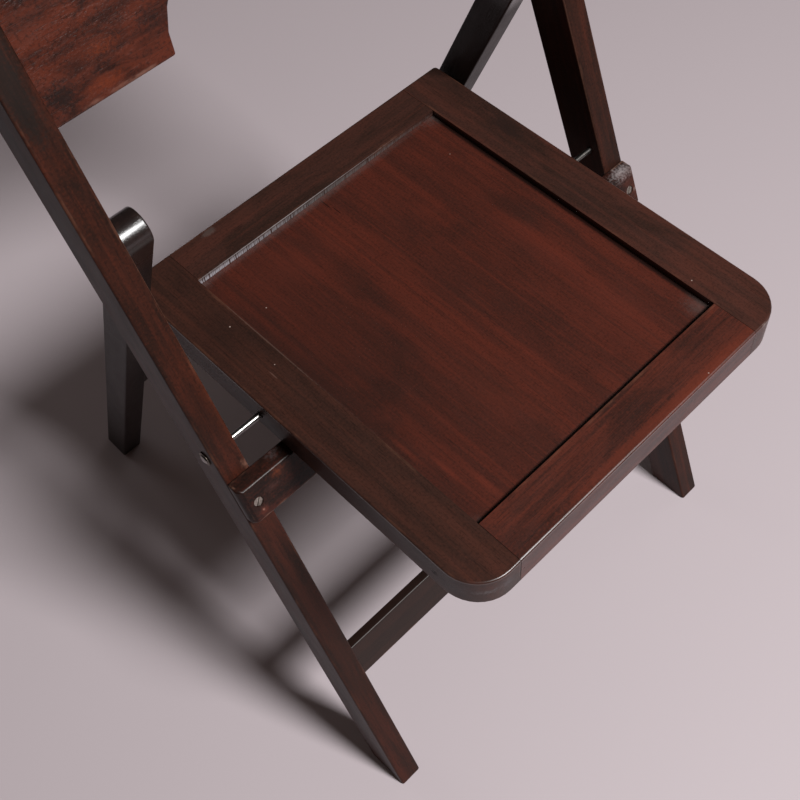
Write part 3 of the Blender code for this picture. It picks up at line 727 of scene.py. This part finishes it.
def screwTree(material):
    # one screw is cut and then set on every point; it faces forward, as the batten does
    tree = bpy.data.node_groups.new("slotted_screws", "GeometryNodeTree")
    face = tree.interface
    face.new_socket("Geometry", in_out="INPUT", socket_type="NodeSocketGeometry")
    for name in slottedScrew:
        face.new_socket(name, in_out="INPUT", socket_type="NodeSocketFloat")
    face.new_socket("Length", in_out="INPUT", socket_type="NodeSocketFloat")
    face.new_socket("Facing", in_out="INPUT", socket_type="NodeSocketVector")
    face.new_socket("Geometry", in_out="OUTPUT", socket_type="NodeSocketGeometry")
    entry = tree.nodes.new("NodeGroupInput").outputs

    def step(kind, settings=None, values=None):
        made = tree.nodes.new(kind)
        for key, value in (settings or {}).items():
            setattr(made, key, value)
        for key, value in (values or {}).items():
            if isinstance(value, bpy.types.NodeSocket):
                tree.links.new(value, made.inputs[key])
            else:
                made.inputs[key].default_value = value
        return made.outputs[0]

    def times(value, factor):
        return step("ShaderNodeMath", {"operation": "MULTIPLY"}, {0: value, 1: factor})

    def upOrDown(geometry, rise, turn=None):
        lifted = step("ShaderNodeCombineXYZ", None, {"Z": rise})
        values = {"Geometry": geometry, "Translation": lifted}
        if turn is not None:
            values["Rotation"] = step("ShaderNodeCombineXYZ", None, {"Z": turn})
        return step("GeometryNodeTransform", None, values)

    head = step("GeometryNodeMeshCone", None, {
        "Vertices": screwShape["headSides"],
        "Radius Top": entry["Head radius"],
        "Radius Bottom": entry["Shank radius"],
        "Depth": entry["Head height"],
    })
    head = upOrDown(head, times(entry["Head height"], -1.0))
    shank = step("GeometryNodeMeshCylinder", None, {
        "Vertices": screwShape["shankSides"],
        "Radius": entry["Shank radius"],
        "Depth": entry["Length"],
    })
    shank = upOrDown(shank, times(entry["Length"], -screwShape["shankSink"]))
    # the blade that cuts the slot stands half above the head
    blade = step("GeometryNodeMeshCube", None, {
        "Size": step("ShaderNodeCombineXYZ", None, {
            "X": times(entry["Head radius"], screwShape["bladeLength"]),
            "Y": entry["Slot width"],
            "Z": times(entry["Slot depth"], 2.0),
        }),
    })
    blade = upOrDown(blade, 0.0, entry["Slot turn"])
    cut = tree.nodes.new("GeometryNodeMeshBoolean")
    cut.operation = "DIFFERENCE"
    tree.links.new(head, cut.inputs["Mesh 1"])
    tree.links.new(blade, cut.inputs["Mesh 2"])
    joined = tree.nodes.new("GeometryNodeJoinGeometry")
    for part in (shank, cut.outputs["Mesh"]):
        tree.links.new(part, joined.inputs[0])
    places = step("GeometryNodeMeshToPoints", None, {"Mesh": entry["Geometry"]})
    screws = step("GeometryNodeInstanceOnPoints", None, {
        "Points": places, "Instance": joined.outputs[0], "Rotation": entry["Facing"],
    })
    real = step("GeometryNodeRealizeInstances", None, {"Geometry": screws})
    done = step("GeometryNodeSetMaterial", None, {"Geometry": real, "Material": material})
    tree.links.new(done, tree.nodes.new("NodeGroupOutput").inputs[0])
    return tree


def battenScrews():
    # both screws grown on points where the CAD heads are, and given to the frame as one piece
    nodes = ("batten_screw_right", "batten_screw_left")
    heads, shank = [], 0.0
    for node in nodes:
        low, high = boardBox(node, withStiles)
        face = Vector(((low[0] + high[0]) / 2, low[1], (low[2] + high[2]) / 2))
        heads.append(boardTurn(withStiles) @ face)
        shank = float(high[1] - low[1])
    mesh = bpy.data.meshes.new("screw_places")
    mesh.from_pydata([tuple(head) for head in heads], [], [])
    holder = bpy.data.objects.new("screw_places", mesh)
    bpy.context.scene.collection.objects.link(holder)
    tree = screwTree(metal("screw_steel", stain(176, 170, 160), 0.20))
    grown = holder.modifiers.new("screws", "NODES")
    grown.node_group = tree
    facing = (math.pi / 2 - stileLean, 0.0, 0.0)
    sizes = {**slottedScrew, "Length": shank * screwShape["shankShare"], "Facing": facing}
    for item in tree.interface.items_tree:
        if item.in_out == "INPUT" and item.name in sizes:
            grown[item.identifier] = sizes[item.name]
    ready = bpy.context.evaluated_depsgraph_get()
    solid = bpy.data.meshes.new_from_object(holder.evaluated_get(ready))
    holder.modifiers.remove(grown)
    bpy.data.objects.remove(holder)
    piece = joinedMesh(solid, "batten_screws")
    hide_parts(*nodes)
    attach(piece, "frame")


battenScrews()
print("screws set in the batten")

light = {
    "floor": (190, 178, 182),
    "floorRoughness": 0.6,
    "floorHalf": 6.0,
    "aim": (0.0, 0.0, 0.35),
    "lamps": {
        "key_lamp": {
            "place": (0.48, -1.95, 2.84), "size": 0.88, "power": 134.0, "mirrored": True
        },
        "fill_lamp": {"place": (2.6, 0.4, 2.6), "size": 1.6, "power": 3.6, "mirrored": False},
        "back_lamp": {"place": (-0.7, 2.9, 0.8), "size": 1.4, "power": 8.0, "mirrored": False},
    },
    # what the surround lights with, what varnish mirrors of it, and what the camera sees
    "surround": (0.047, 0.034, 0.028, 1.0),
    "surroundInGloss": (0.026, 0.0225, 0.0215, 1.0),
    "surroundSeen": (0.46, 0.42, 0.425, 1.0),
}


def studio():
    # pale floor, a soft lamp high in front of the chair, two weak fills, and a dim surround
    floorMesh = bpy.data.meshes.new("floor")
    half = light["floorHalf"]
    corners = [(-half, -half, 0.0), (half, -half, 0.0), (half, half, 0.0), (-half, half, 0.0)]
    floorMesh.from_pydata(corners, [], [(0, 1, 2, 3)])
    floor = bpy.data.objects.new("floor", floorMesh)
    bpy.context.scene.collection.objects.link(floor)
    bench = Bench("floor_plain")
    bench.feed(bench.shader.inputs["Base Color"], stain(*light["floor"]))
    bench.feed(bench.shader.inputs["Roughness"], light["floorRoughness"])
    floorMesh.materials.append(bench.material)
    for name, lamp in light["lamps"].items():
        data = bpy.data.lights.new(name, "AREA")
        data.shape = "DISK"
        data.size = lamp["size"]
        data.energy = lamp["power"]
        made = bpy.data.objects.new(name, data)
        bpy.context.scene.collection.objects.link(made)
        made.location = lamp["place"]
        aim = Vector(light["aim"]) - made.location
        made.rotation_euler = aim.to_track_quat("-Z", "Y").to_euler()
        made.visible_glossy = lamp["mirrored"]
        made.visible_camera = False
    world = bpy.data.worlds.new("surround")
    world.use_nodes = True
    tree = world.node_tree
    rays = tree.nodes.new("ShaderNodeLightPath")
    behind = tree.nodes["Background"]
    behind.inputs["Color"].default_value = light["surround"]
    soFar = behind.outputs[0]
    for ray, tone in (("Is Glossy Ray", "surroundInGloss"), ("Is Camera Ray", "surroundSeen")):
        other = tree.nodes.new("ShaderNodeBackground")
        other.inputs["Color"].default_value = light[tone]
        either = tree.nodes.new("ShaderNodeMixShader")
        tree.links.new(rays.outputs[ray], either.inputs[0])
        tree.links.new(soFar, either.inputs[1])
        tree.links.new(other.outputs[0], either.inputs[2])
        soFar = either.outputs[0]
    tree.links.new(soFar, tree.nodes["World Output"].inputs["Surface"])
    bpy.context.scene.world = world


def photoCamera():
    # the view of the photograph, in the chair's own metres
    view = {
        "place": (-0.39607, -0.444604, 1.09856),
        "heading": 42.578,
        "dip": -57.531,
        "roll": -2.511,
        "lens": 51.045,
        "sensor": 36.0,
    }
    heading, dip, roll = [math.radians(view[key]) for key in ("heading", "dip", "roll")]
    ahead = Vector(
        (math.sin(heading) * math.cos(dip), math.cos(heading) * math.cos(dip), math.sin(dip))
    )
    level = Vector((math.cos(heading), -math.sin(heading), 0.0))
    above = level.cross(ahead)
    right = level * math.cos(roll) + above * math.sin(roll)
    up = above * math.cos(roll) - level * math.sin(roll)
    data = bpy.data.cameras.new("photo_camera")
    data.lens = view["lens"]
    data.sensor_width = view["sensor"]
    camera = bpy.data.objects.new("photo_camera", data)
    bpy.context.scene.collection.objects.link(camera)
    turn = Matrix((right, up, -ahead)).transposed().to_4x4()
    camera.matrix_world = Matrix.Translation(view["place"]) @ turn
    bpy.context.scene.camera = camera


studio()
photoCamera()
bpy.context.scene.view_settings.view_transform = "Standard"
print("studio set")
